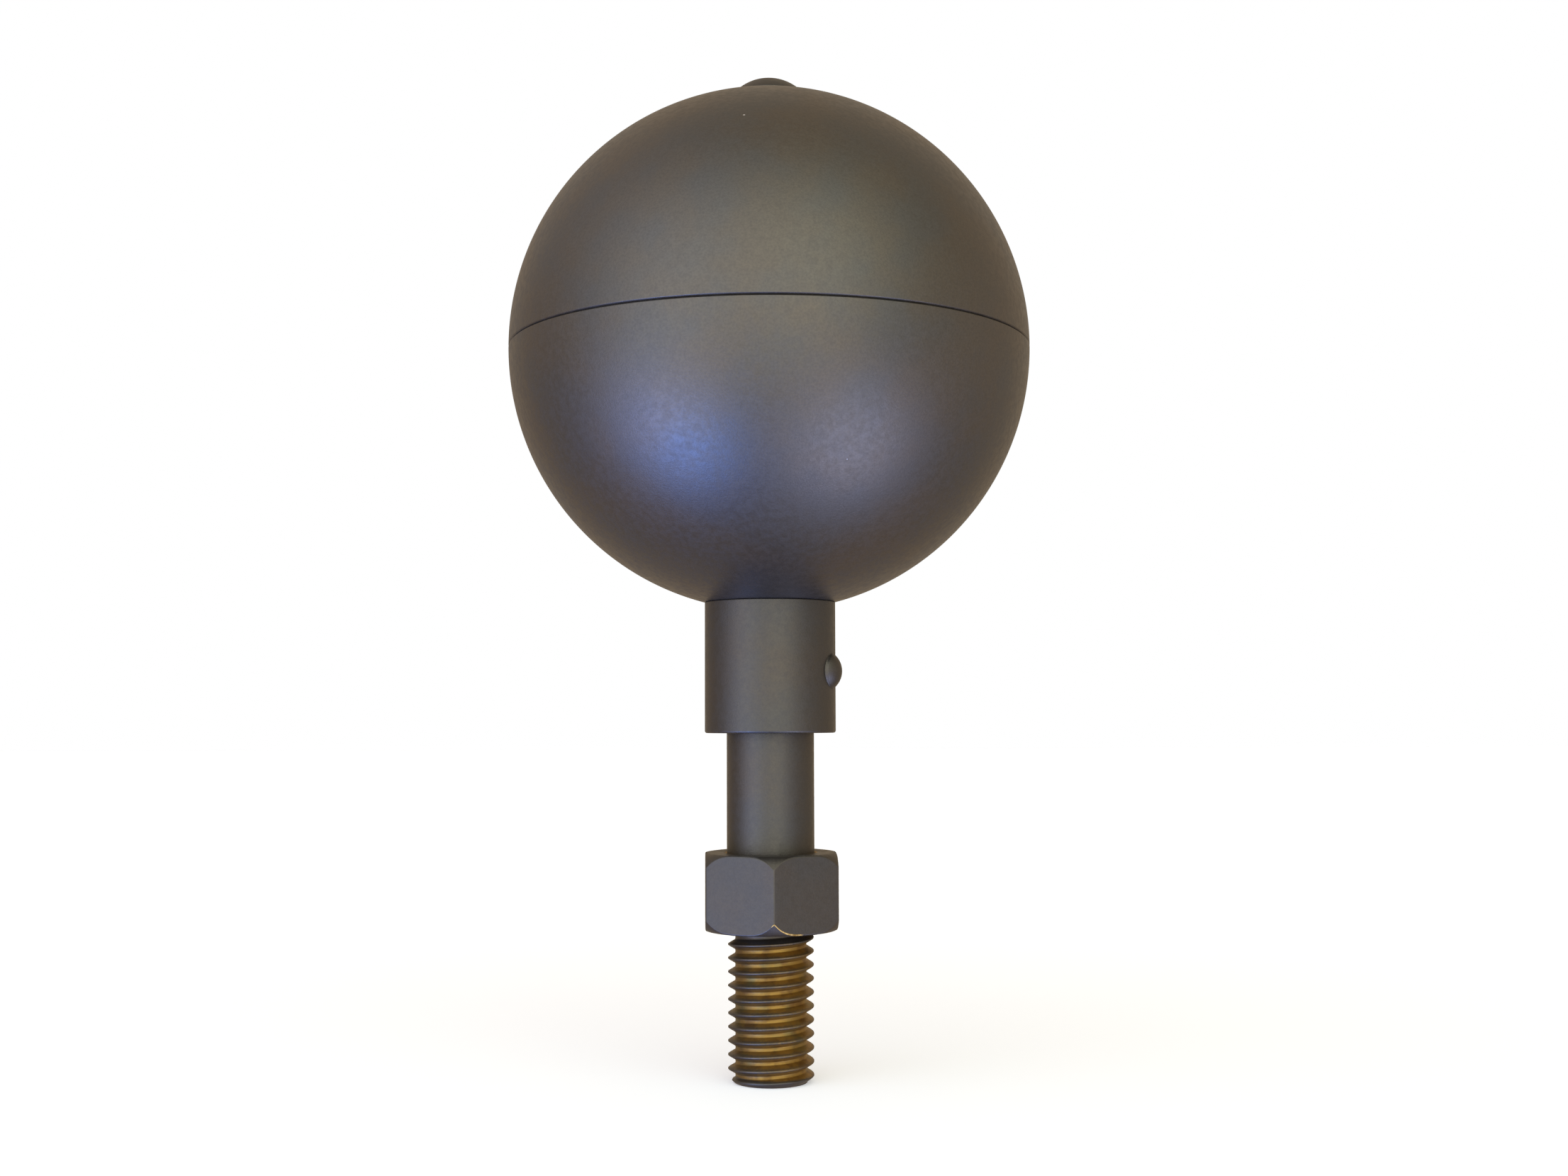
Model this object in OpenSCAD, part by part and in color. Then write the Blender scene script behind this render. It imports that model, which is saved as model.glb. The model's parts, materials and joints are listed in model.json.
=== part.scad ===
// Ball finial for a flagpole: a spun two-piece ball on a threaded spindle.
// Millimetres, +Z up. The origin is on the axis, in the plane of the lock nut's lower face
// when the nut is run all the way up its thread.

/* [Ball] */
// Outside diameter of the ball
ball_d = 76.2; // [70:0.1:90]
// Wall thickness of the two spun shells
shell_t = 1.6; // [1:0.1:2.5]
// Width of the groove where the shells meet
seam_w = 0.4; // [0.2:0.1:0.8]
// Depth of that groove
seam_depth = 0.5; // [0.2:0.1:0.8]
// Height of the coupling band inside the seam
band_h = 10; // [6:1:16]
// Thickness of the coupling band at its middle
band_t = 1.5; // [1:0.1:2]

/* [Collar] */
// Outside diameter of the collar
collar_d = 19.05; // [17:0.05:24]
// Length of the collar at its outside edge
collar_h = 19.05; // [14:0.05:30]

/* [Cross pin] */
// Diameter of the pin's shank
pin_d = 3.2; // [2:0.1:4]
// How deep the shank reaches from the collar's surface
pin_reach = 9; // [6:0.5:12]
// Diameter of the domed head
pin_head_d = 5; // [4.5:0.1:6]
// Height of the domed head over the collar
pin_head_h = 1.3; // [1:0.1:1.8]
// Height of the pin over the collar's lower edge
pin_up = 8.9; // [4:0.1:12]
// Direction of the head, degrees round from +X
pin_turn = -19; // [-180:1:180]

/* [Spindle] */
// Diameter of the smooth rod
rod_d = 12.7; // [12.6:0.05:13]
// Length of smooth rod between the nut and the collar
rod_free = 17.19; // [5:0.01:40]
// Length of thread below the nut
stud_len = 21.6; // [15:0.1:40]
// Major diameter of the thread
thread_d = 12.38; // [12.2:0.01:12.38]
// Threads per inch
threads_per_inch = 13; // [10:1:20]
// Height of the chamfer on the stud's end
end_chamfer = 0.9; // [0.4:0.1:1.5]

/* [Lock nut] */
// Width across the flats
nut_af = 18.9; // [18.6:0.05:20]
// Height of the nut
nut_h = 11.11; // [9:0.01:14]
// Diameter of the round faces that the corner chamfers leave
nut_face_d = 18.2; // [17:0.1:18.5]
// Direction of one corner, degrees round from +X
nut_turn = -87.6; // [-120:0.1:-60]

/* [Top screw] */
// Diameter of the button head
head_d = 11.1; // [8:0.1:12]
// Height of the button head
head_h = 3.1; // [2:0.1:4]
// Height of the head's upright rim
head_rim = 0.8; // [0.3:0.1:1.2]
// Diameter of the flat on top of the head
head_flat_d = 4.2; // [3.7:0.1:5]
// Width of the hex socket across its flats
socket_af = 3.2; // [2.5:0.1:3.2]
// Depth of the hex socket
socket_depth = 1.6; // [1:0.1:1.8]
// Major diameter of the screw's thread
screw_d = 6.35; // [4:0.05:6.5]
// Length of the screw under its head
screw_len = 14; // [10:0.5:25]
// Pitch of the screw's thread
screw_pitch = 1.27; // [0.8:0.001:1.27]

/* [Hidden] */
$fn = 192;

finish = [0.33, 0.31, 0.28];     // dark bronze paint
bare_zinc = [0.62, 0.45, 0.16];  // yellow zinc plating under the paint

fit = 0.03;                      // radial clearance where one piece sits round another
over = 1;                        // how far a cutter runs past what it cuts

pitch = 25.4 / threads_per_inch;
flank = tan(30);                 // axial run of a thread's flank for each unit of height

ball_r = ball_d / 2;
shell_ri = ball_r - shell_t;
collar_r = collar_d / 2;
rod_r = rod_d / 2;
thread_r = thread_d / 2;
root_r = thread_r - 0.3125 * pitch / flank;
relief_r = thread_r - 0.17;      // crests that the nut covers at rest are this much lower

collar_z0 = nut_h + rod_free;
collar_z1 = collar_z0 + collar_h;
ball_z = collar_z1 + sqrt(pow(ball_r, 2) - pow(collar_r, 2));
pin_z = collar_z0 + pin_up;
rod_top = ball_z + sqrt(pow(shell_ri, 2) - pow(rod_r, 2)) - fit;
thread_top = nut_h - 0.5;        // the thread runs out just inside the nut's upper countersink
seat_drop = 0.42;                // the top screw's flat seat lies this far under the ball's pole
seat_z = ball_z + ball_r - seat_drop;

stud_turns = ceil(stud_len / pitch);
covered_turns = floor((thread_top - 1) / pitch);
first_crest = -0.02 - pitch / 16;

nut_bore_r = thread_r + 0.06;
core_r = nut_bore_r + 0.75;      // outside radius of the nut's threaded core
core_h = 6;
core_z0 = (nut_h - core_h) / 2;
countersink_r = rod_r + 0.5;

screw_r = screw_d / 2;
screw_root_r = screw_r - 0.3125 * screw_pitch / flank;
screw_turns = floor((screw_len - 2) / screw_pitch);
screw_z0 = seat_z - screw_len;

// the head's crown is the sphere that passes through the rim's upper edge and the flat's edge
crown_z = (pow(head_flat_d / 2, 2) - pow(head_d / 2, 2) + pow(head_h, 2) - pow(head_rim, 2))
    / (2 * (head_h - head_rim));
crown_r = sqrt(pow(head_flat_d / 2, 2) + pow(head_h - crown_z, 2));

// One ridge of a thread as points of a half section, from its lower foot to its upper foot
function ridge(z, root, crest, p) =
    let (foot = 0.375 * p, land = foot - (crest - root) * flank)
    [[root, z - foot], [crest, z - land], [crest, z + land], [root, z + foot]];

// The ridges of a thread from step `last` up to step `first`, counted downwards from z0
function ridges(z0, first, last, root, crest, p) =
    [for (i = [last : -1 : first]) each ridge(z0 - i * p, root, crest, p)];

// Spherical cap with its flat side at z = 0 and its crown at z = h
module dome(d, h) {
    r = (pow(d / 2, 2) + pow(h, 2)) / (2 * h);
    intersection() {
        translate([0, 0, h - r]) sphere(r);
        cylinder(d = d, h = h);
    }
}

// One half of the ball before its pole is opened; up is 1 for the upper half and -1 for the lower
module half_ball(up) {
    difference() {
        intersection() {
            sphere(ball_r);
            mirror([0, 0, up > 0 ? 0 : 1]) cylinder(r = ball_r + over, h = ball_r + over);
        }
        sphere(shell_ri);
        // bevel that makes half of the seam groove
        rotate_extrude() polygon([
            [ball_r - seam_depth, 0],
            [ball_r + over, 0],
            [ball_r + over, up * seam_w / 2 * (1 + over / seam_depth)]
        ]);
    }
}

// Envelope that trims the spindle to length and chamfers both of its ends at 45 degrees
module spindle_envelope() {
    rotate_extrude() polygon([
        [0, -stud_len],
        [thread_r - end_chamfer, -stud_len],
        [rod_r + over, -stud_len + end_chamfer + rod_r + over - thread_r],
        [rod_r + over, rod_top - 2 * over],
        [rod_r - over, rod_top],
        [0, rod_top]
    ]);
}

module cross_drill(r, reach) {
    translate([0, 0, pin_z]) rotate([0, 0, pin_turn]) rotate([0, 90, 0])
        translate([0, 0, collar_r - reach]) cylinder(r = r, h = reach + over);
}

module upper_shell() {
    color(finish) difference() {
        translate([0, 0, ball_z]) half_ball(1);
        // flat seat and clearance hole for the top screw
        translate([0, 0, seat_z]) cylinder(r = head_d, h = over);
        translate([0, 0, ball_z]) cylinder(r = screw_r + 0.15, h = ball_r);
    }
}

module lower_shell() {
    color(finish) difference() {
        translate([0, 0, ball_z]) half_ball(-1);
        translate([0, 0, ball_z - ball_r]) cylinder(r = rod_r + 0.1, h = ball_r);
    }
}

// Band that backs the butt joint of the two shells
module seam_ring() {
    color("silver") translate([0, 0, ball_z]) difference() {
        intersection() {
            sphere(shell_ri - fit);
            cylinder(r = ball_r, h = band_h, center = true);
        }
        cylinder(r = shell_ri - band_t, h = band_h + over, center = true);
    }
}

module top_screw() {
    color(finish) difference() {
        union() {
            intersection() {
                translate([0, 0, seat_z + crown_z]) sphere(crown_r);
                translate([0, 0, seat_z]) cylinder(d = head_d, h = head_h);
            }
            rotate_extrude() polygon(concat(
                [[0, screw_z0], [screw_root_r - 0.4, screw_z0], [screw_root_r, screw_z0 + 0.4]],
                ridges(seat_z, 1, screw_turns, screw_root_r, screw_r, screw_pitch),
                [[screw_root_r, seat_z + head_rim / 2], [0, seat_z + head_rim / 2]]
            ));
        }
        translate([0, 0, seat_z + head_h - socket_depth])
            cylinder(d = socket_af / cos(30), h = socket_depth + over, $fn = 6);
    }
}

module spindle() {
    color(finish) difference() {
        intersection() {
            rotate_extrude() polygon(concat(
                [[0, -(stud_turns + 1) * pitch], [root_r, -(stud_turns + 1) * pitch]],
                ridges(first_crest, 0, stud_turns, root_r, thread_r, pitch),
                ridges(first_crest, -covered_turns, -1, root_r, relief_r, pitch),
                [[root_r, thread_top - 0.6], [rod_r, thread_top + 0.2]],
                [[rod_r, rod_top + over], [0, rod_top + over]]
            ));
            spindle_envelope();
        }
        // tapped hole for the top screw, at the thread's major diameter
        translate([0, 0, screw_z0 - 2]) cylinder(r = screw_r + fit, h = screw_len + 2);
        cross_drill(pin_d / 2 + fit, pin_reach + 0.2);
    }
}

// Sleeve under the ball, dished at its top to seat the ball
module collar() {
    color(finish) difference() {
        translate([0, 0, collar_z0]) cylinder(r = collar_r, h = collar_h + over);
        translate([0, 0, ball_z]) sphere(ball_r + fit / 3);
        translate([0, 0, collar_z0 - over]) cylinder(r = rod_r + fit, h = collar_h + 3 * over);
        cross_drill(pin_d / 2 + fit, pin_reach + 0.2);
    }
}

// Round-head drive pin that locks the collar to the spindle
module cross_pin() {
    color(finish) translate([0, 0, pin_z]) rotate([0, 0, pin_turn]) {
        difference() {
            rotate([0, 90, 0]) translate([0, 0, collar_r]) {
                dome(pin_head_d, pin_head_h);
                translate([0, 0, -over]) cylinder(d = pin_head_d, h = over);
            }
            cylinder(r = collar_r + fit / 3, h = pin_head_d + 2 * over, center = true);
        }
        rotate([0, 90, 0]) translate([0, 0, collar_r - pin_reach])
            cylinder(d = pin_d, h = pin_reach + pin_head_h / 3);
    }
}

// Threaded core of the lock nut: the lands that ride on the spindle's thread
module nut_thread() {
    color(bare_zinc) translate([0, 0, core_z0]) difference() {
        cylinder(r = core_r, h = core_h);
        translate([0, 0, -over]) cylinder(r = nut_bore_r, h = core_h + 2 * over);
    }
}

module hex_nut() {
    bevel = nut_af / cos(30) / 2 - nut_face_d / 2 + over;
    color(finish) difference() {
        intersection() {
            rotate([0, 0, nut_turn]) cylinder(d = nut_af / cos(30), h = nut_h, $fn = 6);
            rotate_extrude() polygon([
                [0, 0],
                [nut_face_d / 2, 0],
                [nut_face_d / 2 + bevel, bevel],
                [nut_face_d / 2 + bevel, nut_h - bevel],
                [nut_face_d / 2, nut_h],
                [0, nut_h]
            ]);
        }
        // bore with a countersink at each end and a pocket for the threaded core
        rotate_extrude() polygon([
            [0, -over],
            [countersink_r + over, -over],
            [nut_bore_r, countersink_r - nut_bore_r],
            [nut_bore_r, core_z0 - fit],
            [core_r + fit, core_z0 - fit],
            [core_r + fit, core_z0 + core_h + fit],
            [nut_bore_r, core_z0 + core_h + fit],
            [nut_bore_r, nut_h - countersink_r + nut_bore_r],
            [countersink_r + over, nut_h + over],
            [0, nut_h + over]
        ]);
    }
}

upper_shell();
lower_shell();
seam_ring();
top_screw();
spindle();
collar();
cross_pin();
nut_thread();
hex_nut();
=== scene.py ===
import json
import math

import bmesh
import bpy
from mathutils import Matrix, Vector


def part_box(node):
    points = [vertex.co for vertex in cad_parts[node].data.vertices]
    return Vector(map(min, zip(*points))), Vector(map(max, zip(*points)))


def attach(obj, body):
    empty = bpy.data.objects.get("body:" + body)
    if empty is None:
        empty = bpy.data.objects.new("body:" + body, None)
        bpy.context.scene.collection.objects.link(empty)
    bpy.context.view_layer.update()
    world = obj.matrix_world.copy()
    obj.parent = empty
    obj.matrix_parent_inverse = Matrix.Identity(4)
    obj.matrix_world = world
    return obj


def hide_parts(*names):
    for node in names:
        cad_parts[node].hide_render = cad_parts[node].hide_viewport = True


# Looks of a flagpole ball finial: detailed shells, spindle with a true right-hand thread, collar, pin,
# screw and lock nut, in satin dark bronze paint over yellow zinc. The pieces' sizes are in millimetres
# until a mesh is made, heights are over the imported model's origin, and -Y is the front.

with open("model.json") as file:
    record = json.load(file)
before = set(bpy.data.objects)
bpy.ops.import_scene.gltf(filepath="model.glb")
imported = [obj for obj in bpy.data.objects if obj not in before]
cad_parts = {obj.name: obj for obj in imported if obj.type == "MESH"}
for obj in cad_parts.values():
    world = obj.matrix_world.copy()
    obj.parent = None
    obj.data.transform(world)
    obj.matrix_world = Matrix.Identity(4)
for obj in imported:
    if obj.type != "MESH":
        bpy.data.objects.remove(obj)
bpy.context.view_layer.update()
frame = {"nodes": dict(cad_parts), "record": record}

MM = 0.001
TURN = 2 * math.pi


def corners(node):
    """Lowest and highest corner of a CAD node, in millimetres."""
    low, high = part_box(node)
    return low / MM, high / MM


def thread_depth(pitch):
    """Depth of a 60 degree V thread, five eighths of the sharp V's height."""
    return 0.3125 * pitch / math.tan(math.radians(30))


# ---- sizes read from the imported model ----
shell_low, shell_high = corners("upper_shell")
spindle_low, spindle_high = corners("spindle")
collar_low, collar_high = corners("collar")
pin_low, pin_high = corners("cross_pin")
screw_low = corners("top_screw")[0]
nut_high = corners("hex_nut")[1]
stud_mount = next(m for m in frame["record"]["mounts"] if m["name"] == "spindle_thread")

BALL_R = (shell_high.x - shell_low.x) / 2
BALL_Z = shell_low.z
ROD_R = (spindle_high.x - spindle_low.x) / 2
STUD_END = spindle_low.z
ROD_TOP = spindle_high.z
COLLAR_R = (collar_high.x - collar_low.x) / 2
COLLAR_Z = collar_low.z
PIN_Z = (pin_low.z + pin_high.z) / 2
SCREW_END = screw_low.z
NUT_H = nut_high.z
CREST_R = stud_mount["dims"]["r_mm"]

# ---- sizes that the boxes don't give ----
# Most are the CAD model's. The others are nearer the photo, or of details that the CAD leaves out.
SHELL_T = 1.6            # wall of the two shells
SEAM_W = 0.4             # groove where they meet
SEAM_DEPTH = 0.25        # half of the CAD groove's depth: paint has filled the rest
SEAT_DROP = 0.42         # how far the screw's seat lies under the pole
PITCH = 25.4 / 13        # 13 threads per inch
ROOT_R = CREST_R - thread_depth(PITCH)
CREST_TURN = -math.pi / 2  # direction in which a crest is CREST_Z high
CREST_Z = -1.55
RUN_OUT = (9.9, 10.8)    # heights between which the thread fades into the rod
END_CHAMFER = 0.9
PAINT_AND_SHADE_ABOVE = -1.2     # the thread is fully painted from here up; just under the nut this paint also stands in for the shade there
ROD_RING_DROP = 12       # an extra ring on the rod lies this far under the collar
PIN_TURN = math.radians(-19)
PIN_HEAD_R = 2.5
PIN_HEAD_H = 1.3
PIN_HEAD_RIM = 0.08      # upright edge under the dome
PIN_SHANK_R = 1.6
PIN_REACH = 9            # how far the shank goes into the collar
PIN_FOOT = [(0.10, 0), (0.09, 0.02), (0.02, 0.04)]  # where paint fills the corner round the head:
                                                    # beyond its radius, and out from the collar
NUT_AF = 18.9            # across the flats
NUT_FACE_R = 9.2         # flat part of the nut's ends, which are domed outside it
NUT_FALL = 1.78          # how far the ends have fallen at the corners
NUT_DOME_ROWS = 6
NUT_SOFTNESS = 0.3       # rounding of the six corners
NUT_CORNER = math.radians(-87.6)
NUT_MOUTH_R = 6.85       # countersinks of the nut's bore
NUT_ROUND = 0.22         # rounding between a domed end and the flats
NUT_CLEARANCE = 0.035    # between the nut's thread and the spindle's
WEAR_GLINT_SETS_IN = 0.03      # the worn edge, lit by a painted glint, sets in over this turn before the nut's front corner, is full up to this turn past where it set in, and ends at the next; all in radians
WEAR_GLINT_THINS = 0.38        # up to this turn past where it set in, and ends at the next; all in radians
WEAR_GLINT_END = 0.52
EDGE_PAINT = 0.75        # how well paint holds on the rest of the nut's lower edge
HEAD_R = 5.55            # button head of the top screw
HEAD_H = 3.1
HEAD_RIM = 0.8           # its upright edge
HEAD_FLAT_R = 2.1
SOCKET_AF = 3.2
SOCKET_DEPTH = 1.6
SCREW_R = 3.175
SCREW_PITCH = 1.27
SCREW_ROOT_R = SCREW_R - thread_depth(SCREW_PITCH)
FIT = 0.03               # clearance between pieces that touch
DISH_GAP = 0.02          # between the ball and the collar's dished top
ROUND_PIECES = 4         # steps of a rounding

SEAT_Z = BALL_Z + BALL_R - SEAT_DROP
SEAT_R = math.sqrt(BALL_R ** 2 - (BALL_R - SEAT_DROP) ** 2)
UPPER_HOLE_R = SCREW_R + 0.15
LOWER_HOLE_R = ROD_R + 0.1


# ---- mesh tools ----
class Skin:
    """A closed skin built of rings round the Z axis. Every ring has one point for each angle."""

    def __init__(self, angles):
        self.angles = angles
        self.points = []
        self.paint = []      # how well each point keeps its paint, 0 to 1
        self.faces = []

    def point(self, angle, radius, height, paint=1.0):
        self.points.append((radius * math.cos(angle), radius * math.sin(angle), height))
        self.paint.append(paint)
        return len(self.points) - 1

    def ring(self, place, paint=1.0):
        """place is (radius, height), or a function that gives it for an angle."""
        at = place if callable(place) else lambda angle: place
        return [self.point(angle, *at(angle), paint) for angle in self.angles]

    def tip(self, height, paint=1.0):
        """A ring that is one point on the axis."""
        return [self.point(0, 0, height, paint)] * len(self.angles)

    def face(self, *ids):
        unique = list(dict.fromkeys(ids))
        if len(unique) > 2:
            self.faces.append(unique)

    def band(self, first, second):
        for i in range(len(first)):
            j = (i + 1) % len(first)
            self.face(first[i], first[j], second[j], second[i])

    def chain(self, rings):
        for first, second in zip(rings, rings[1:]):
            self.band(first, second)

    def outline(self, points, paint=1.0):
        """Rings along an outline of (radius, height) points, joined in turn."""
        rings = [self.ring(p, paint) if p[0] > 0 else self.tip(p[1], paint) for p in points]
        self.chain(rings)
        return rings

    def helix(self, low, high, thread):
        """Threaded wall between two rings. Its rows follow the helix, so crests and roots stay crisp."""
        bottom, top = self.points[low[0]][2], self.points[high[0]][2]
        rows = thread.rows(bottom, top)
        count = len(self.angles)
        made = {}

        def corner(column, row):
            turn, step = divmod(row, len(thread.steps))
            if column == count:
                column, turn = 0, turn + 1
            height = thread.height(self.angles[column], turn, step)
            if height <= bottom + thread.snap:
                return low[column]
            if height >= top - thread.snap:
                return high[column]
            key = (column, turn, step)
            if key not in made:
                angle = self.angles[column]
                made[key] = self.point(angle, *thread.place(angle, height))
            return made[key]

        for column in range(count):
            for row in rows:
                self.face(corner(column, row), corner(column + 1, row),
                          corner(column + 1, row + 1), corner(column, row + 1))


class Thread:
    """A right-hand V thread with rounded crests and roots. edge trims its radius at a height."""

    # place within half a pitch, from the crest, and how much of the thread's depth is left there
    SHAPE = [(0, 1), (0.04, 0.99), (0.065, 0.95), (0.09, 0.885), (0.16, 0.68), (0.25, 0.395),
             (0.33, 0.145), (0.365, 0.055), (0.40, 0.012), (0.45, 0), (0.5, 0)]
    PAINT_FADES = (0.3, 0.6)  # heights over which the lower and the upper painted end thin out

    def __init__(self, pitch, root, crest, crest_z, crest_turn, edge):
        self.pitch, self.root, self.crest = pitch, root, crest
        self.crest_z, self.crest_turn, self.edge = crest_z, crest_turn, edge
        half = [u for u, _ in self.SHAPE]
        self.steps = half[:-1] + [1 - u for u in reversed(half[1:])]
        self.snap = 0.012 * pitch
        self.painted_and_shaded_ends = None  # heights below and above which paint covers all of the thread; the upper one also paints the shade under the nut

    def height(self, angle, turn, step):
        shift = (angle - self.crest_turn) / TURN
        return self.crest_z + self.pitch * (turn + self.steps[step] + shift)

    def rows(self, bottom, top):
        first = math.floor((bottom - self.crest_z) / self.pitch) - 2
        last = math.ceil((top - self.crest_z) / self.pitch) + 2
        return range(first * len(self.steps), last * len(self.steps))

    def depth(self, angle, height):
        """Share of the thread's depth at a place: 1 on a crest and 0 in a root."""
        shift = (angle - self.crest_turn) / TURN
        along = (height - self.crest_z) / self.pitch - shift
        u = abs(along - round(along))
        for (u0, d0), (u1, d1) in zip(self.SHAPE, self.SHAPE[1:]):
            if u <= u1:
                return d0 + (d1 - d0) * (u - u0) / (u1 - u0)
        return 0.0

    def paint_and_shade_left(self, depth, angle, height):
        """Paint covers the crests and all of the thread's painted ends. More paint on the left darkens
        that side and leaves more gold on the right: painted shade and painted light from one side. Just
        under the nut, the upper painted end is also painted shade.
        """
        # the second term is painted shade: more paint, so a darker thread, towards the left
        kept = 0.5 * smooth(0.3, 1.0, depth) + 0.2 * (1 - math.cos(angle))
        if not self.painted_and_shaded_ends:
            return kept
        low, high = self.painted_and_shaded_ends
        low_fade, high_fade = self.PAINT_FADES
        return max(kept, smooth(low + low_fade, low, height), smooth(high - high_fade, high, height))

    def place(self, angle, height):
        """(radius, height, paint) of the thread's surface."""
        depth = self.depth(angle, height)
        radius = self.root + (self.crest - self.root) * depth
        return self.edge(radius, height), height, self.paint_and_shade_left(depth, angle, height)


def smooth(low, high, value):
    t = min(max((value - low) / (high - low), 0), 1)
    return t * t * (3 - 2 * t)


def even(count):
    return [TURN * i / count for i in range(count)]


def arc(centre, radius, start, end, pieces):
    """Points of a circle's arc; angles in radians from the +radius direction."""
    turns = [start + (end - start) * i / pieces for i in range(pieces + 1)]
    return [(centre[0] + radius * math.cos(t), centre[1] + radius * math.sin(t)) for t in turns]


def rounded(points, hold=0.07):
    """An outline whose points are (r, z) or (r, z, radius of the rounding). A point is added just
    outside each rounding, which keeps the surface beside it flat."""
    flat = [Vector(p[:2]) for p in points]
    out = []
    for i, p in enumerate(points):
        radius = p[2] if len(p) > 2 else 0
        if not radius:
            out.append(tuple(flat[i]))
            continue
        back = (flat[i - 1] - flat[i]).normalized()
        ahead = (flat[(i + 1) % len(flat)] - flat[i]).normalized()
        half = back.angle(ahead) / 2
        reach = radius / math.tan(half)
        middle = flat[i] + (back + ahead).normalized() * radius / math.sin(half)
        start = flat[i] + back * reach - middle
        end = flat[i] + ahead * reach - middle
        sweep = math.pi - 2 * half
        out.append(tuple(flat[i] + back * (reach + hold)))
        for k in range(ROUND_PIECES + 1):
            t = k / ROUND_PIECES
            spoke = start * math.sin((1 - t) * sweep) + end * math.sin(t * sweep)
            out.append(tuple(middle + spoke / math.sin(sweep)))
        out.append(tuple(flat[i] + ahead * (reach + hold)))
    return out


def make_object(name, skin, turn=None):
    """Makes the skin a mesh in metres, turned if asked, whose faces point outwards."""
    mesh = bpy.data.meshes.new(name)
    mesh.from_pydata([Vector(p) * MM for p in skin.points], [], skin.faces)
    if turn:
        mesh.transform(turn)
    shape = bmesh.new()
    shape.from_mesh(mesh)
    bmesh.ops.recalc_face_normals(shape, faces=shape.faces)
    shape.to_mesh(mesh)
    shape.free()
    made = bpy.data.objects.new(name, mesh)
    bpy.context.scene.collection.objects.link(made)
    return made


def finish_piece(name, skin, body, node, material, turn=None):
    """Makes the skin a painted piece that stands for a CAD node."""
    piece = make_object(name, skin, turn)
    attribute = piece.data.attributes.new("paint", "FLOAT", "POINT")
    attribute.data.foreach_set("value", skin.paint)
    piece.data.shade_smooth()
    piece.data.materials.append(material)
    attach(piece, body)
    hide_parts(node)
    return piece


def drill(piece, cutter):
    """Cuts the cutter out of the piece and removes the cutter."""
    modifier = piece.modifiers.new("drill", "BOOLEAN")
    modifier.operation = "DIFFERENCE"
    modifier.solver = "EXACT"
    modifier.object = cutter
    graph = bpy.context.evaluated_depsgraph_get()
    mesh = bpy.data.meshes.new_from_object(piece.evaluated_get(graph))
    piece.modifiers.clear()
    piece.data = mesh
    bpy.data.objects.remove(cutter)


# ---- materials ----
class Nodes:
    """Short way to build a material's or a world's node tree."""

    def __init__(self, tree):
        self.tree = tree

    def add(self, kind, *inputs, out=0, **settings):
        """Adds a node. inputs are values or sockets for its first inputs, and None leaves one alone."""
        node = self.tree.nodes.new("ShaderNode" + kind)
        for key, value in settings.items():
            setattr(node, key, value)
        for socket, value in zip(node.inputs, inputs):
            if value is not None:
                self.put(socket, value)
        return node.outputs[out]

    def put(self, socket, value):
        if isinstance(value, bpy.types.NodeSocket):
            self.tree.links.new(value, socket)
        else:
            socket.default_value = value

    def math(self, operation, *inputs):
        return self.add("Math", *inputs, operation=operation)

    def noise(self, place, scale, detail=2.0, roughness=0.5):
        """Noise from 0 to 1. scale is the number of features in a millimetre."""
        node = self.tree.nodes.new("ShaderNodeTexNoise")
        for name, value in (("Vector", place), ("Scale", scale), ("Detail", detail),
                            ("Roughness", roughness)):
            self.put(node.inputs[name], value)
        return node.outputs["Fac"]

    def mix(self, share, first, second):
        """Colour between two colours."""
        node = self.tree.nodes.new("ShaderNodeMix")
        node.data_type = "RGBA"
        self.put(node.inputs[0], share)
        self.put(node.inputs[6], first)
        self.put(node.inputs[7], second)
        return node.outputs[2]

    def span(self, value, low, high, to_low=0.0, to_high=1.0):
        """Value moved from one range to another, with soft ends."""
        return self.add("MapRange", value, low, high, to_low, to_high,
                        interpolation_type="SMOOTHSTEP")


def colour(red, green, blue):
    return (red, green, blue, 1.0)


BRONZE = colour(0.105, 0.094, 0.078)
BRONZE_WARM = colour(0.118, 0.096, 0.070)
BRONZE_DARK = colour(0.052, 0.047, 0.040)
SHADED_BRONZE = colour(0.080, 0.072, 0.060)      # the same paint, made darker on the steel pieces to paint in the shade that falls on them
SHADED_BRONZE_WARM = colour(0.088, 0.072, 0.054)
DUST = colour(0.62, 0.60, 0.57)
GOLD = colour(0.29, 0.165, 0.033)
GOLD_BROWN = colour(0.19, 0.100, 0.022)
GOLD_GREEN = colour(0.17, 0.15, 0.055)
# bright gold of the nut's bare edge: a painted glint of light
GOLD_EDGE_GLINT = colour(0.62, 0.40, 0.12)
ALUMINIUM = colour(0.70, 0.70, 0.72)
ALUMINIUM_DARK = colour(0.5, 0.5, 0.53)
PAINT_METALLIC = 0.85
DUST_SCALE = 0.30        # cells in a millimetre that may hold a speck


def surface(name):
    """A new material: (material, its nodes, its shader, its place in millimetres)."""
    material = bpy.data.materials.new(name)
    material.use_nodes = True
    nodes = Nodes(material.node_tree)
    shader = material.node_tree.nodes["Principled BSDF"]
    place = nodes.add("VectorMath", nodes.add("TexCoord", out=3), operation="SCALE")
    place.node.inputs["Scale"].default_value = 1 / MM
    return material, nodes, shader, place


def paint_colour(nodes, place, base, warm):
    """Sprayed paint: slow drift between two tints and a fine dark and light grain."""
    drift = nodes.span(nodes.noise(place, 0.09, 3.0), 0.35, 0.65)
    grain = nodes.span(nodes.noise(place, 3.2, 3.0, 0.6), 0.30, 0.75)
    tint = nodes.mix(drift, base, warm)
    return nodes.mix(nodes.math("MULTIPLY", grain, 0.30), tint, BRONZE_DARK)


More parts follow.
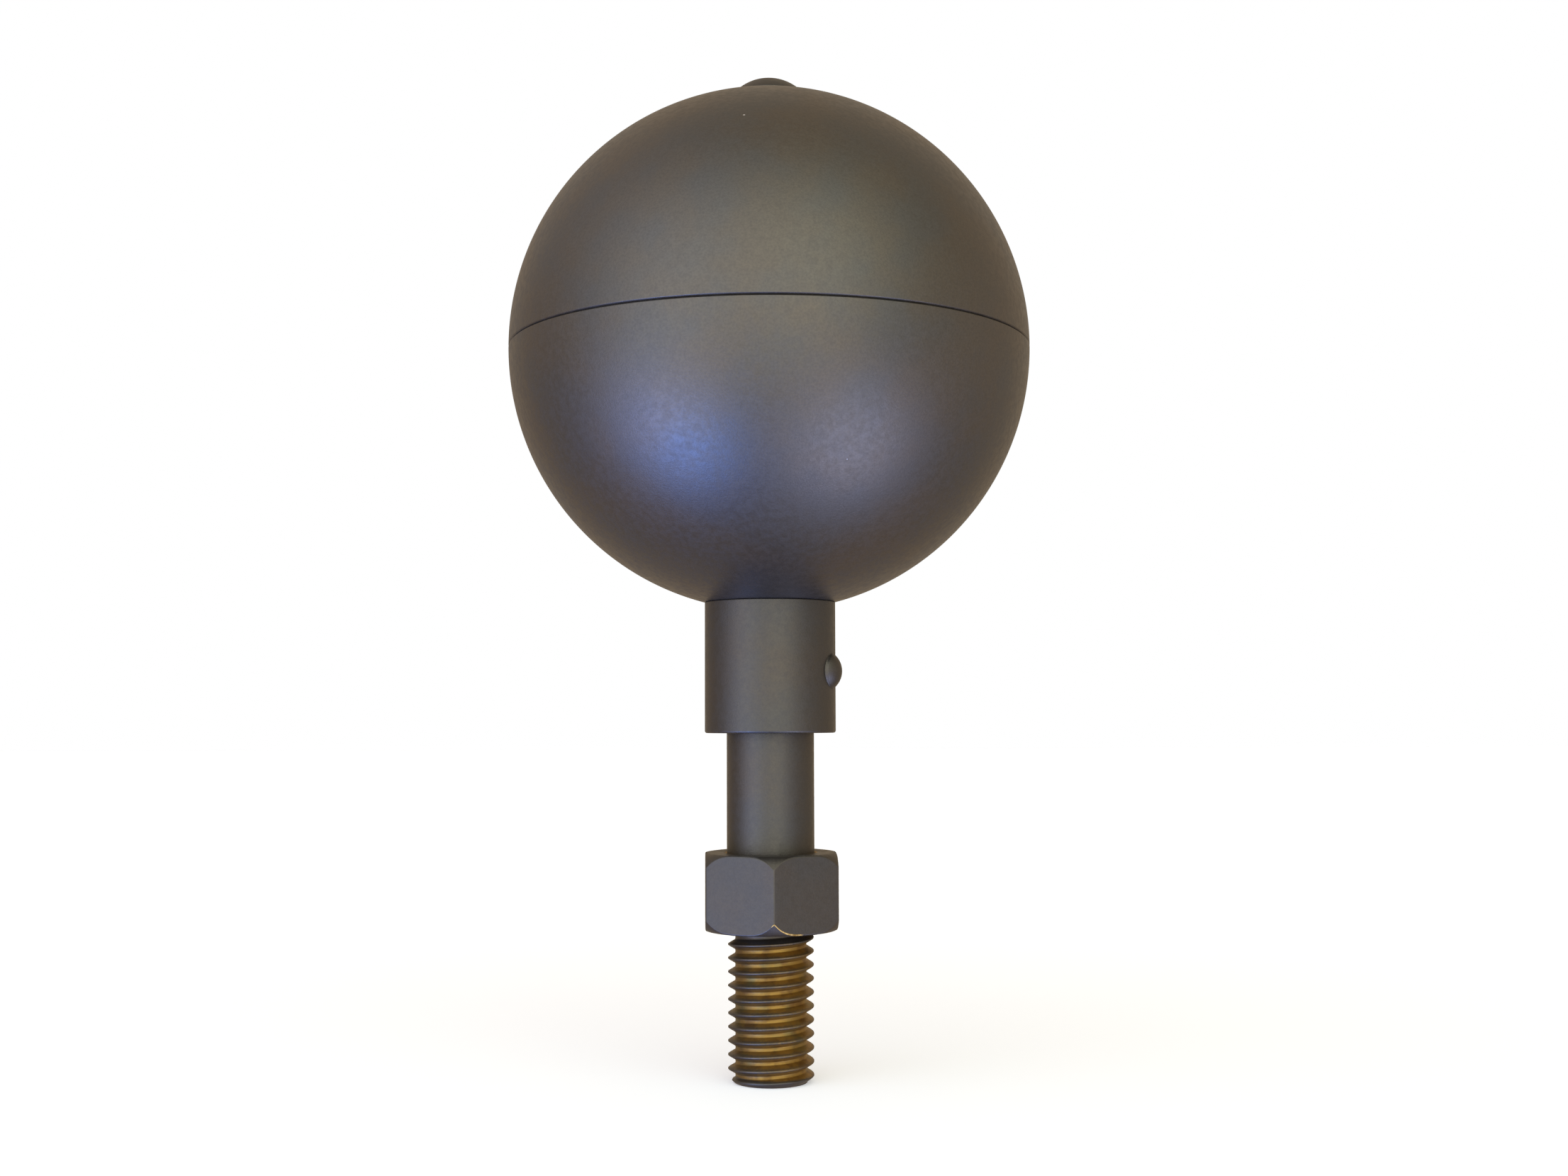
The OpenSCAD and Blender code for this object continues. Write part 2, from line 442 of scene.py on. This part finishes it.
def dust_mask(nodes, place, share):
    """Sparse specks: the middles of that share of the cells."""
    cells = nodes.tree.nodes.new("ShaderNodeTexVoronoi")
    nodes.put(cells.inputs["Vector"], place)
    nodes.put(cells.inputs["Scale"], DUST_SCALE)
    near = nodes.span(cells.outputs["Distance"], 0.03, 0.06, 1.0, 0.0)
    lucky = nodes.math("LESS_THAN", nodes.add("SeparateColor", cells.outputs["Color"]), share)
    return nodes.math("MULTIPLY", near, lucky)


def grain_bump(nodes, shader, place, scale, strength, height):
    """Orange-peel grain, as a bump. height is in millimetres."""
    grain = nodes.noise(place, scale, 3.0, 0.6)
    bump = nodes.tree.nodes.new("ShaderNodeBump")
    nodes.put(bump.inputs["Strength"], strength)
    nodes.put(bump.inputs["Distance"], height * MM)
    nodes.put(bump.inputs["Height"], grain)
    nodes.put(shader.inputs["Normal"], bump.outputs["Normal"])


def painted(name, base, warm, roughness, dust_share, bare=None, bare_colour=None):
    """Satin paint. bare, if given, says where the plating shows, and bare_colour how it looks there:
    both are functions of the nodes and place."""
    material, nodes, shader, place = surface(name)
    look = paint_colour(nodes, place, base, warm)
    look = nodes.mix(dust_mask(nodes, place, dust_share), look, DUST)
    gloss = nodes.span(nodes.noise(place, 1.1, 2.0), 0.3, 0.7, roughness - 0.04, roughness + 0.05)
    if bare:
        mask = bare(nodes, place)
        look = nodes.mix(mask, look, bare_colour(nodes, place))
        gloss = nodes.add("Mix", mask, None, gloss, roughness + 0.02)
    nodes.put(shader.inputs["Base Color"], look)
    nodes.put(shader.inputs["Roughness"], gloss)
    nodes.put(shader.inputs["Metallic"], PAINT_METALLIC)
    grain_bump(nodes, shader, place, scale=4.5, strength=0.55, height=0.030)
    return material


def zinc_colour(nodes, place):
    """Yellow chromate over zinc: gold that drifts to brown and to olive green."""
    brown = nodes.span(nodes.noise(place, 0.55, 3.0), 0.45, 0.68)
    green = nodes.span(nodes.noise(place, 0.30, 2.0), 0.50, 0.70)
    look = nodes.mix(brown, GOLD, GOLD_BROWN)
    return nodes.mix(nodes.math("MULTIPLY", green, 0.6), look, GOLD_GREEN)


def bare_edge_glint_colour(nodes, place):
    """Plating rubbed bare, brightened into a painted glint of light along the nut's edge."""
    return nodes.mix(nodes.span(nodes.noise(place, 2.0), 0.3, 0.7), GOLD_EDGE_GLINT, GOLD)


def worn(softness, raggedness):
    """Plating shows where the mesh's paint attribute is low."""
    def mask(nodes, place):
        kept = nodes.add("Attribute", attribute_name="paint", out=2)
        noise = nodes.math("SUBTRACT", nodes.noise(place, 2.6, 3.0), 0.5)
        edge = nodes.math("MULTIPLY_ADD", noise, raggedness, kept)
        return nodes.span(edge, 0.5 - softness, 0.5 + softness, 1.0, 0.0)
    return mask


def plain_metal(name, look_of, roughness):
    """Bare metal of the two pieces that hide inside."""
    material, nodes, shader, place = surface(name)
    nodes.put(shader.inputs["Base Color"], look_of(nodes, place))
    nodes.put(shader.inputs["Roughness"],
              nodes.span(nodes.noise(place, 1.5), 0.3, 0.7, roughness - 0.06, roughness + 0.06))
    shader.inputs["Metallic"].default_value = 1.0
    grain_bump(nodes, shader, place, scale=3.0, strength=0.3, height=0.02)
    return material


def mill_colour(nodes, place):
    """Mill finish: fine streaks round the Z axis."""
    streak = nodes.add("VectorMath", place, (0.2, 0.2, 6.0), operation="MULTIPLY")
    return nodes.mix(nodes.span(nodes.noise(streak, 1.0), 0.3, 0.7), ALUMINIUM, ALUMINIUM_DARK)


shell_paint = painted("shell_paint", BRONZE, BRONZE_WARM, roughness=0.40, dust_share=0.035)
# the steel pieces take the darkened copy of the paint, which is painted shade
hardware_paint = painted("hardware_paint", SHADED_BRONZE, SHADED_BRONZE_WARM, roughness=0.41, dust_share=0.03)
spindle_paint = painted("spindle_paint", SHADED_BRONZE, SHADED_BRONZE_WARM, roughness=0.40, dust_share=0.03,
                        bare=worn(softness=0.45, raggedness=0.5), bare_colour=zinc_colour)
# the nut's bare edge shows a brightened gold, which is a painted glint of light
nut_paint = painted("nut_paint", SHADED_BRONZE, SHADED_BRONZE_WARM, roughness=0.42, dust_share=0.02,
                    bare=worn(softness=0.15, raggedness=0.5), bare_colour=bare_edge_glint_colour)
yellow_zinc = plain_metal("yellow_zinc", zinc_colour, roughness=0.34)
bare_aluminium = plain_metal("bare_aluminium", mill_colour, roughness=0.38)


# ---- the pieces ----
def half_shell(up, hole_r, seat_r):
    """Outline of one half of the ball; up is 1 for the upper half and -1 for the lower."""
    lip = math.asin(SEAM_W / 2 / BALL_R)
    inner_r = BALL_R - SHELL_T
    seat = math.acos(seat_r / BALL_R)
    hole = math.acos(hole_r / inner_r)
    outer = arc((0, 0), BALL_R, lip, seat, 110)
    inner = arc((0, 0), inner_r, hole, 0, 36)
    points = [(BALL_R - SEAM_DEPTH, 0)]
    points += [(*outer[0], 0.12)] + outer[1:-1]
    if seat_r > hole_r:
        flat = BALL_R - SEAT_DROP
        points += [(*outer[-1], 1.0), (hole_r, flat, 0.08)]
    else:
        points += [outer[-1]]
    points += inner
    return [(r, BALL_Z + up * z) for r, z in rounded(points)]


def make_shell(name, node, up, hole_r, seat_r):
    """One half of the ball. seat_r is the radius of a flat seat round its hole, or the hole's own."""
    skin = Skin(even(288))
    rings = skin.outline(half_shell(up, hole_r, seat_r))
    skin.band(rings[-1], rings[0])
    return finish_piece(name, skin, "finial", node, shell_paint)


def make_spindle():
    """Smooth rod, thread below it, and inside the ball the tapped end that the screw goes into."""
    def edge(radius, height):
        fade = smooth(*RUN_OUT, height)
        chamfer = CREST_R - END_CHAMFER + height - STUD_END
        return min(radius + (ROD_R - radius) * fade, chamfer)

    thread = Thread(PITCH, ROOT_R, CREST_R, CREST_Z, CREST_TURN, edge)
    # the upper painted end darkens the thread just under the nut, which is painted shade as well as paint
    thread.painted_and_shaded_ends = (STUD_END + END_CHAMFER, PAINT_AND_SHADE_ABOVE)
    skin = Skin(even(176))
    end_r = CREST_R - END_CHAMFER
    hole_r = SCREW_R + FIT
    hole_z = SCREW_END - 2
    end = skin.outline([(0, STUD_END), (end_r / 3, STUD_END), (end_r * 2 / 3, STUD_END),
                        (end_r - 0.16, STUD_END), (end_r - 0.06, STUD_END + 0.02)])
    low = skin.ring(lambda a: thread.place(a, STUD_END + 0.08)[:2])
    high = skin.ring((ROD_R, RUN_OUT[1] + 0.1))
    skin.helix(low, high, thread)
    rod = skin.outline(rounded([
        (ROD_R, COLLAR_Z - ROD_RING_DROP), (ROD_R, COLLAR_Z), (ROD_R, BALL_Z),
        (ROD_R, ROD_TOP - 1, 0.2), (ROD_R - 1, ROD_TOP, 0.2), (hole_r, ROD_TOP, 0.1),
        (hole_r, hole_z), (0, hole_z - 1)]))
    skin.chain([end[-1], low])
    skin.chain([high, rod[0]])
    return finish_piece("spindle_bar", skin, "finial", "spindle", spindle_paint)


def make_collar():
    """Sleeve with soft edges, dished at its top to seat the ball."""
    bore_r = ROD_R + FIT
    dish = [(r, BALL_Z - math.sqrt((BALL_R + DISH_GAP) ** 2 - r ** 2))
            for r in (COLLAR_R, COLLAR_R - 1, COLLAR_R - 2, bore_r)]
    points = [(bore_r, COLLAR_Z), (COLLAR_R, COLLAR_Z, 0.32)]
    rows = 24
    side = [(COLLAR_R, COLLAR_Z + (dish[0][1] - COLLAR_Z) * i / rows) for i in range(1, rows)]
    points += side + [(*dish[0], 0.12)] + dish[1:]
    skin = Skin(even(240))
    rings = skin.outline(rounded(points))
    skin.band(rings[-1], rings[0])
    return finish_piece("collar_sleeve", skin, "finial", "collar", hardware_paint)


def pin_cutter(name):
    """A plain rod that drills the pin's hole."""
    skin = Skin(even(48))
    start = COLLAR_R - PIN_REACH - 0.2
    skin.outline([(0, start), (PIN_SHANK_R + FIT, start),
                  (PIN_SHANK_R + FIT, COLLAR_R + 2), (0, COLLAR_R + 2)])
    return make_object(name, skin, pin_pose())


def pin_pose():
    """From a shape round the Z axis to the pin's place: its axis points out of the collar."""
    lean = Matrix.Rotation(math.pi / 2, 4, "Y")
    swing = Matrix.Rotation(PIN_TURN, 4, "Z")
    return Matrix.Translation((0, 0, PIN_Z * MM)) @ swing @ lean


def make_pin():
    """Drive pin with a domed head that sits close on the collar's round side."""
    skin = Skin(even(96))
    rise = PIN_HEAD_H - PIN_HEAD_RIM
    dome_r = (PIN_HEAD_R ** 2 + rise ** 2) / (2 * rise)
    spread = math.asin(PIN_HEAD_R / dome_r)
    dome = arc((0, COLLAR_R + PIN_HEAD_H - dome_r), dome_r, math.pi / 2 - spread, math.pi / 2, 18)

    def on_collar(radius, lift):
        """Ring of that radius that follows the collar's round side."""
        def at(angle):
            across = radius * math.sin(angle)
            return radius, math.sqrt((COLLAR_R + lift) ** 2 - across ** 2)
        return at

    start = COLLAR_R - PIN_REACH
    rings = [skin.tip(start),
             skin.ring((PIN_SHANK_R - 0.2, start)), skin.ring((PIN_SHANK_R, start + 0.2)),
             skin.ring((PIN_SHANK_R, COLLAR_R - 1)), skin.ring(on_collar(PIN_SHANK_R, FIT))]
    rings += [skin.ring(on_collar(PIN_HEAD_R + beyond, lift)) for beyond, lift in PIN_FOOT]
    rings += [skin.ring(p) for p in dome[:-1]] + [skin.tip(dome[-1][1])]
    skin.chain(rings)
    return finish_piece("drive_pin", skin, "finial", "cross_pin", hardware_paint,
                        pin_pose())


def hex_corner(across, softness):
    """Where a rounded corner's centre lies from the axis, and half the angle that the corner takes."""
    centre = (across / 2 - softness) / math.cos(TURN / 12)
    return centre, math.atan2(softness * math.sin(TURN / 12), centre + softness * math.cos(TURN / 12))


def hex_radius(angle, across, corner, softness):
    """Radius of a hexagon with rounded corners. corner is the direction of one corner."""
    off = (angle - corner + TURN / 12) % (TURN / 6) - TURN / 12
    centre, edge = hex_corner(across, softness)
    if abs(off) >= edge:
        return across / 2 / math.cos(TURN / 12 - abs(off))
    return centre * math.cos(off) + math.sqrt(softness ** 2 - (centre * math.sin(off)) ** 2)


def hex_angles(corner, softness, across):
    """Angles for a hexagon's columns, closer together round its corners."""
    flats, bends = 22, 8
    edge = hex_corner(across, softness)[1]
    angles = []
    for side in range(6):
        middle = corner + side * TURN / 6
        angles += [middle - edge + 2 * edge * i / bends for i in range(bends + 1)]
        rest = TURN / 6 - 2 * edge
        angles += [middle + edge + rest * (i + 1) / flats for i in range(flats - 1)]
    return angles


def make_screw():
    """Button-head screw with a hex socket."""
    crown_z = (HEAD_FLAT_R ** 2 - HEAD_R ** 2 + HEAD_H ** 2 - HEAD_RIM ** 2) / (2 * (HEAD_H - HEAD_RIM))
    crown_r = math.hypot(HEAD_FLAT_R, HEAD_H - crown_z)
    start = math.atan2(HEAD_RIM - crown_z, HEAD_R)
    end = math.atan2(HEAD_H - crown_z, HEAD_FLAT_R)
    crown = arc((0, crown_z), crown_r, start, end, 16)
    head = rounded([(SCREW_R - 0.1, 0), (HEAD_R, 0, 0.12), (*crown[0], 0.25)] + crown[1:-1]
                   + [(*crown[-1], 0.25), (HEAD_FLAT_R - 0.05, HEAD_H)])[1:]
    skin = Skin(hex_angles(0, 0.12, SOCKET_AF))
    thread = Thread(SCREW_PITCH, SCREW_ROOT_R, SCREW_R, SEAT_Z - 0.4, 0,
                    lambda r, z: min(r, SCREW_ROOT_R - 0.1 + z - SCREW_END))
    tail = skin.outline([(0, SCREW_END), (SCREW_ROOT_R - 0.2, SCREW_END)])
    low = skin.ring(lambda a: thread.place(a, SCREW_END + 0.1)[:2])
    high = skin.ring((SCREW_R - 0.1, SEAT_Z - 0.02))
    skin.chain([tail[-1], low])
    skin.helix(low, high, thread)
    rings = skin.outline([(r, SEAT_Z + z) for r, z in head])
    skin.chain([high, rings[0]])
    top = SEAT_Z + HEAD_H

    def socket(across, depth):
        return skin.ring(lambda a: (hex_radius(a, across, 0, 0.12 * across / SOCKET_AF), top - depth))

    walls = [socket(SOCKET_AF + 0.16, 0), socket(SOCKET_AF + 0.04, 0.03), socket(SOCKET_AF, 0.1),
             socket(SOCKET_AF, SOCKET_DEPTH - 0.1), socket(SOCKET_AF - 0.06, SOCKET_DEPTH - 0.02),
             socket(SOCKET_AF - 0.2, SOCKET_DEPTH), skin.tip(top - SOCKET_DEPTH - 0.3)]
    skin.chain([rings[-1]] + walls)
    return finish_piece("button_screw", skin, "finial", "top_screw", hardware_paint)


def make_nut():
    """Hex nut with rounded corners, chamfered at both ends, and a thread that fits the spindle's."""
    skin = Skin(hex_angles(NUT_CORNER, NUT_SOFTNESS, NUT_AF))
    sections = [nut_section(hex_radius(a, NUT_AF, NUT_CORNER, NUT_SOFTNESS)) for a in skin.angles]
    rings = []
    for row, places in enumerate(zip(*sections)):
        rings.append([skin.point(angle, *place, nut_wear_and_glint(angle, row))
                      for angle, place in zip(skin.angles, places)])
    skin.chain(rings)

    def edge(radius, height):
        mouth = max(NUT_MOUTH_R - height, NUT_MOUTH_R - (NUT_H - height))
        return max(radius + NUT_CLEARANCE, mouth)

    thread = Thread(PITCH, ROOT_R, CREST_R, CREST_Z, CREST_TURN, edge)
    skin.helix(rings[0], rings[-1], thread)
    return finish_piece("lock_nut_hex", skin, "lock_nut", "hex_nut", nut_paint)


def nut_section(radius):
    """Outline of the nut from the lower mouth of its bore, round the outside, to the upper mouth.
    Its ends are domed: they fall away ever faster towards the corners."""
    tip = hex_radius(NUT_CORNER, NUT_AF, NUT_CORNER, NUT_SOFTNESS)
    dome = []
    for k in range(1, NUT_DOME_ROWS + 1):
        r = NUT_FACE_R + (radius - NUT_FACE_R) * k / NUT_DOME_ROWS
        dome.append((r, NUT_FALL * ((r - NUT_FACE_R) / (tip - NUT_FACE_R)) ** 2))
    lower = [(NUT_MOUTH_R, 0), (NUT_FACE_R, 0)] + dome[:-1] + [(*dome[-1], NUT_ROUND)]
    upper = [(r, NUT_H - z, *soft) for r, z, *soft in reversed(lower)]
    return rounded(lower + upper, hold=0.08)


def nut_wear_and_glint(angle, row):
    """Paint is thin on the rounding between the lower dome and the flats, and gone on a stretch of it,
    whose bare plating is brightened into a painted glint of light.
    """
    first = 2 + NUT_DOME_ROWS
    if not first <= row <= first + ROUND_PIECES:
        return 1.0
    past = (angle - NUT_CORNER + WEAR_GLINT_SETS_IN) % TURN
    gone = smooth(0.0, WEAR_GLINT_SETS_IN, past) * smooth(WEAR_GLINT_END, WEAR_GLINT_THINS, past)
    return EDGE_PAINT - EDGE_PAINT * gone


# ---- build ----
make_shell("upper_shell_skin", "upper_shell", 1, UPPER_HOLE_R, SEAT_R)
make_shell("lower_shell_skin", "lower_shell", -1, LOWER_HOLE_R, LOWER_HOLE_R)
spindle = make_spindle()
collar = make_collar()
drill(spindle, pin_cutter("spindle_drill"))
drill(collar, pin_cutter("collar_drill"))
make_pin()
make_screw()
make_nut()

for node, material in (("seam_ring", bare_aluminium), ("nut_thread", yellow_zinc)):
    frame["nodes"][node].data.materials.clear()
    frame["nodes"][node].data.materials.append(material)


# ---- stage, light and camera ----
def make_floor():
    """A large pale floor under the stud's end. It sends no light back to the object."""
    size = 3.0
    mesh = bpy.data.meshes.new("floor")
    height = STUD_END * MM
    mesh.from_pydata([(-size, -size, height), (size, -size, height), (size, size, height),
                      (-size, size, height)], [], [(0, 1, 2, 3)])
    material = bpy.data.materials.new("floor")
    material.use_nodes = True
    shader = material.node_tree.nodes["Principled BSDF"]
    shader.inputs["Base Color"].default_value = colour(0.85, 0.85, 0.85)
    shader.inputs["Roughness"].default_value = 0.9
    shader.inputs["Emission Color"].default_value = colour(1, 1, 1)
    shader.inputs["Emission Strength"].default_value = 0.35
    mesh.materials.append(material)
    floor = bpy.data.objects.new("floor", mesh)
    bpy.context.scene.collection.objects.link(floor)
    floor.visible_diffuse = False
    floor.visible_glossy = False
    floor.visible_shadow = False


# soft areas of light: name, azimuth from the front towards +X, elevation and width in degrees, colour
LIGHTS = [
    ("front", 14, -4, 20, (1.32, 1.36, 1.34)),
    ("front_left", -42, 4, 20, (1.16, 1.25, 1.30)),
    ("lower_left", -35, -20, 15, (0.34, 0.54, 0.78)),
    ("sky_right", 28, 35, 22, (1.25, 1.50, 1.48)),
    ("sky_middle", -20, 35, 22, (0.62, 0.72, 0.86)),
    ("sky_left", -60, 35, 22, (0.60, 0.75, 1.10)),
    ("window_left", -48, -45, 10, (1.20, 3.40, 13.0)),
    ("window_right", 48, -45, 15, (2.50, 3.20, 6.20)),
    ("low_left", -60, -30, 15, (1.50, 1.75, 3.50)),
    ("side_right", 90, 0, 20, (0.30, 0.31, 0.34)),
    ("back_left", -130, 45, 30, (0.20, 0.17, 0.17)),
    ("back_right", 140, 40, 30, (0.20, 0.17, 0.16)),
    ("back_low", 180, -25, 40, (0.22, 0.18, 0.14)),
]
AMBIENT = (0.27, 0.20, 0.10)
BACKGROUND = (1.0, 1.0, 1.0, 1.0)


def make_world():
    """Soft light from all round, with brighter soft areas. The camera itself sees plain white."""
    world = bpy.data.worlds.new("studio")
    bpy.context.scene.world = world
    world.use_nodes = True
    tree = world.node_tree
    tree.nodes.clear()
    nodes = Nodes(tree)
    way = nodes.add("TexCoord", out=0)
    total = nodes.add("CombineXYZ", *AMBIENT)
    for name, azimuth, elevation, width, tint in LIGHTS:
        a, e = math.radians(azimuth), math.radians(elevation)
        aim = (math.sin(a) * math.cos(e), -math.cos(a) * math.cos(e), math.sin(e))
        sharp = 1 / math.radians(width) ** 2
        facing = nodes.add("VectorMath", way, aim, operation="DOT_PRODUCT", out=1)
        power = nodes.math("EXPONENT", nodes.math("MULTIPLY_ADD", facing, sharp, -sharp))
        glow = nodes.add("VectorMath", tint, operation="SCALE")
        glow.node.label = name
        nodes.put(glow.node.inputs["Scale"], power)
        total = nodes.add("VectorMath", total, glow, operation="ADD")
    seen = nodes.mix(nodes.add("LightPath"), total, BACKGROUND)
    background = nodes.add("Background", seen)
    output = tree.nodes.new("ShaderNodeOutputWorld")
    tree.links.new(background, output.inputs["Surface"])


def make_camera():
    """Camera in front of the finial, level with its collar, tilted up a little. Places are in metres."""
    distance, height = 0.2701, 0.0302
    tilt, swing, roll = (math.radians(d) for d in (4.07, 0.436, -0.185))
    ahead = Vector((math.sin(swing) * math.cos(tilt), math.cos(swing) * math.cos(tilt), math.sin(tilt)))
    right = Vector((math.cos(swing), -math.sin(swing), 0))
    up = right.cross(ahead)
    side = right * math.cos(roll) + up * math.sin(roll)
    top = up * math.cos(roll) - right * math.sin(roll)
    data = bpy.data.cameras.new("camera")
    data.sensor_fit = "HORIZONTAL"
    data.sensor_width = 36
    data.lens = 42.5
    data.clip_start = 0.005
    data.clip_end = 20
    camera = bpy.data.objects.new("camera", data)
    turn = Matrix((side, top, -ahead)).transposed().to_4x4()
    camera.matrix_world = Matrix.Translation((0, -distance, height)) @ turn
    bpy.context.scene.collection.objects.link(camera)
    bpy.context.scene.camera = camera


make_floor()
make_world()
make_camera()
bpy.context.scene.view_settings.view_transform = "Standard"
